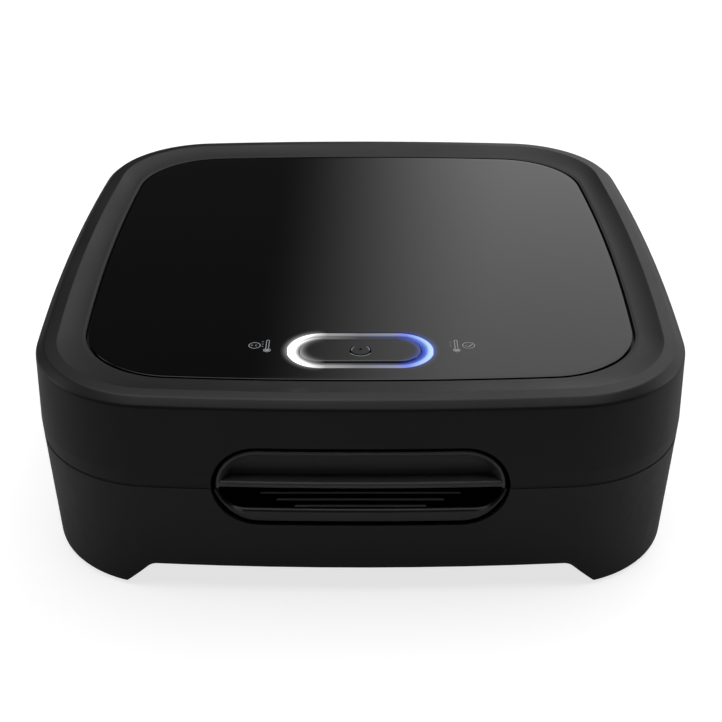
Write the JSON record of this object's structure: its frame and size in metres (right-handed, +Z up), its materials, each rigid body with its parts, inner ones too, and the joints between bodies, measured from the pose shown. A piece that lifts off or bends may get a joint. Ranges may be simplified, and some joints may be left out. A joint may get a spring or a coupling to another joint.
{
  "type": "sandwich maker",
  "caption": "Closed-lid sandwich maker with a square black casing, gloss top panel, pill button in a light ring, front grip pocket, ridged pocket plates and floating rear hinge.",
  "frame": {"origin": "under the middle of the whole object's box, on the surface that it stands on", "axes": "+Z up, -Y towards the handle, +X to the right as seen from the handle"},
  "size_m": [0.296, 0.3124, 0.0998],
  "materials": {
    "casing_plastic": "fine satin texture",
    "handle_plastic": "satin",
    "cover_plastic": "matt",
    "frame_plastic": "matt, glass filled",
    "coated_plate": "black non-stick coating",
    "shield_sheet": "galvanised",
    "element_sheath": "oxidised",
    "steel": "plain",
    "screw_steel": "zinc plated",
    "foot_rubber": "matt",
    "gasket_foam": "matt",
    "panel_gloss": "polished",
    "button_gloss": "semi-gloss",
    "light_diffuser": "translucent",
    "collar_plastic": "satin",
    "board": "solder mask",
    "housing_plastic": "matt",
    "switch_plastic": "matt",
    "led_white": "clear resin",
    "led_blue": "clear resin",
    "thermostat_can": "plain",
    "fuse_ceramic": "glazed",
    "block_nylon": "moulded",
    "lead_silicone": "silicone",
    "gland_rubber": "matt",
    "nut_nylon": "moulded"
  },
  "bodies": {
    "base": {"base_shell": "casing_plastic", "bottom_cover": "cover_plastic", "cover_screws": "screw_steel", "rubber_foot_front_left": "foot_rubber", "rubber_foot_front_right": "foot_rubber", "rubber_foot_rear_left": "foot_rubber", "rubber_foot_rear_right": "foot_rubber", "finger_recess": "handle_plastic", "lower_frame": "frame_plastic", "lower_cooking_plate": "coated_plate", "lower_heating_element": "element_sheath", "lower_element_terminals": "steel", "lower_element_clamps": "steel", "lower_clamp_screws": "screw_steel", "lower_heat_shield": "shield_sheet", "lower_plate_screws": "screw_steel", "thermostat": "thermostat_can", "thermal_fuse": "fuse_ceramic", "terminal_block": "block_nylon", "lower_lead_left": "lead_silicone", "lower_lead_right": "lead_silicone", "cord_gland": "gland_rubber", "gland_nut": "nut_nylon"},
    "hinge_carriage": {"hinge_pin_left": "steel", "hinge_pin_right": "steel"},
    "lid": {"lid_shell": "casing_plastic", "lid_screws": "screw_steel", "lid_handle": "handle_plastic", "panel_gasket": "gasket_foam", "top_panel": "panel_gloss", "light_ring": "light_diffuser", "button_collar": "collar_plastic", "tactile_switch": "switch_plastic", "indicator_board": "board", "button_housing": "housing_plastic", "housing_screws": "screw_steel", "heating_leds": "led_white", "ready_leds": "led_blue", "upper_frame": "frame_plastic", "upper_cooking_plate": "coated_plate", "upper_heating_element": "element_sheath", "upper_element_terminals": "steel", "upper_element_clamps": "steel", "upper_clamp_screws": "screw_steel", "upper_heat_shield": "shield_sheet", "upper_plate_screws": "screw_steel", "lid_terminal_block": "block_nylon", "upper_lead_left": "lead_silicone", "upper_lead_right": "lead_silicone"},
    "button": {"power_button": "button_gloss", "switch_plunger": "switch_plastic"}
  },
  "joints": [
    {"name": "hinge_float", "type": "slide", "parent": "base", "child": "hinge_carriage", "axis": [0, 0, 1], "range_m": [0, 0.006]},
    {"name": "lid_hinge", "type": "hinge", "parent": "hinge_carriage", "child": "lid", "pos_m": [0, 0.15095, 0.0491], "axis": [-1, 0, 0], "range_deg": [0, 105]},
    {"name": "button_press", "type": "slide", "parent": "lid", "child": "button", "axis": [0, 0, -1], "range_m": [0, 0.001], "stiffness_N_per_m": 600, "springref_m": -0.0005}
  ]
}
